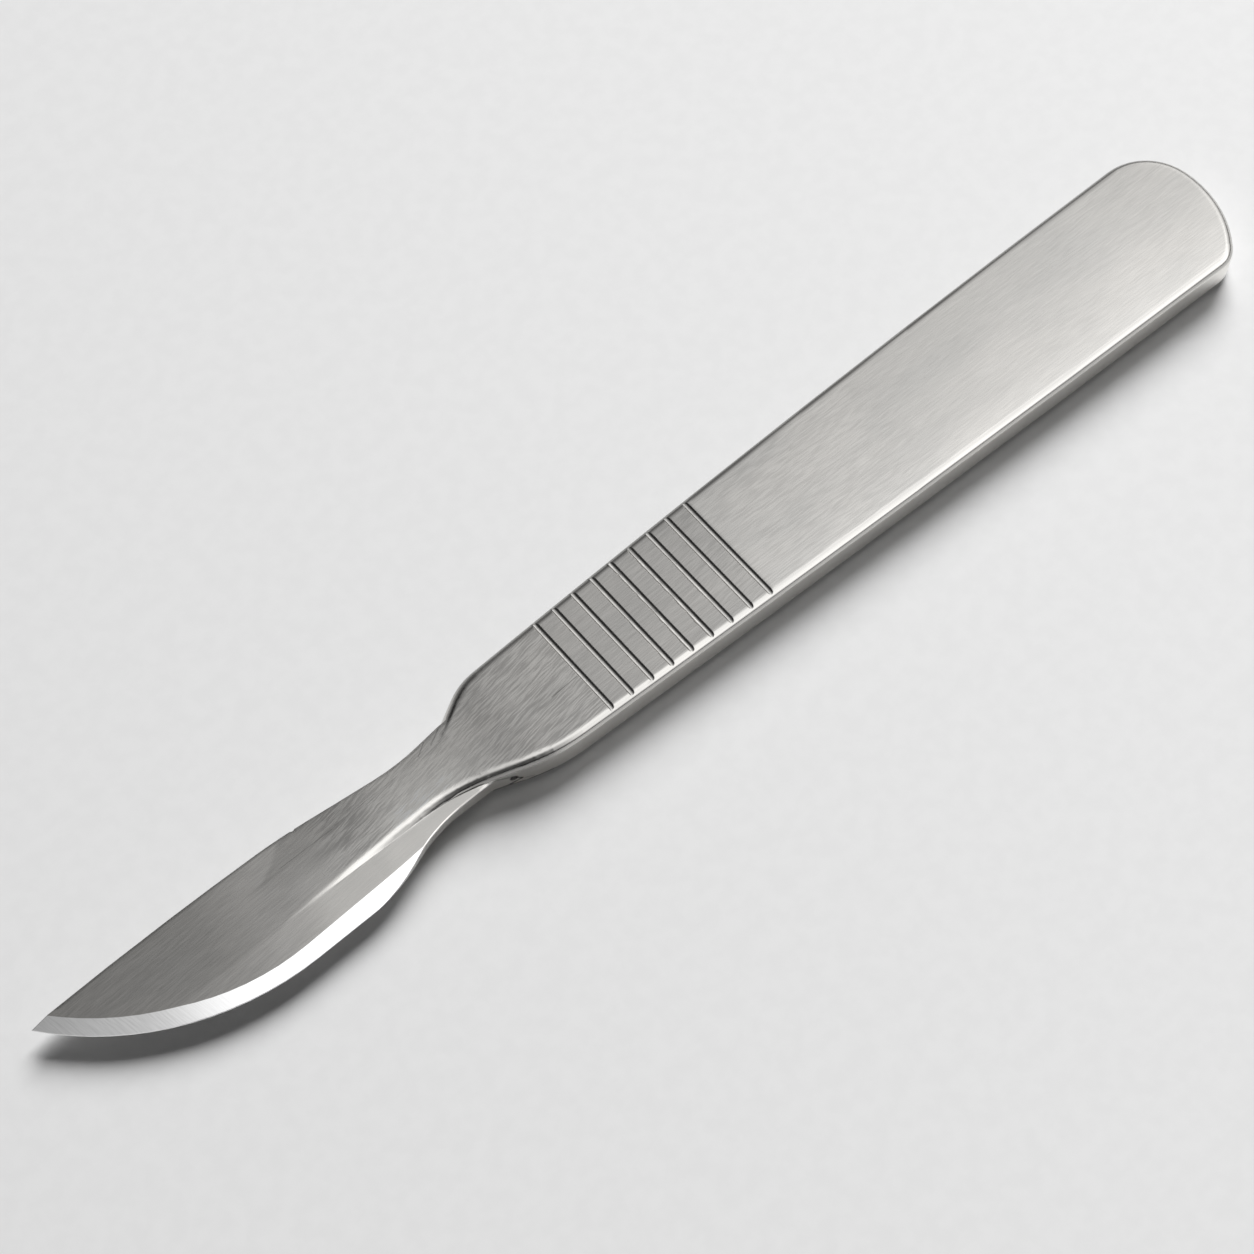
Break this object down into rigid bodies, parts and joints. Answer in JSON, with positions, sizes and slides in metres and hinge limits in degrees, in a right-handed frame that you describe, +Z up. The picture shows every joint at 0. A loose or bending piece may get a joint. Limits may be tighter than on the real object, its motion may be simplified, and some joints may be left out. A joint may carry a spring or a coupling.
{
  "type": "scalpel",
  "caption": "One-piece dissecting scalpel: a curved, ground blade that runs through a waisted shank into a flat, flared handle with cross grooves for grip.",
  "frame": {"origin": "under the middle of the overall length and width, on the surface that the handle lies on", "axes": "+X from the tip to the butt along the handle's middle line, +Z up, the cutting edge facing -Y"},
  "size_m": [0.15, 0.0166, 0.0045],
  "materials": {
    "steel": "brushed stainless steel with polished edges and a bright ground bevel"
  },
  "bodies": {
    "root": {"scalpel": "steel"}
  },
  "joints": []
}
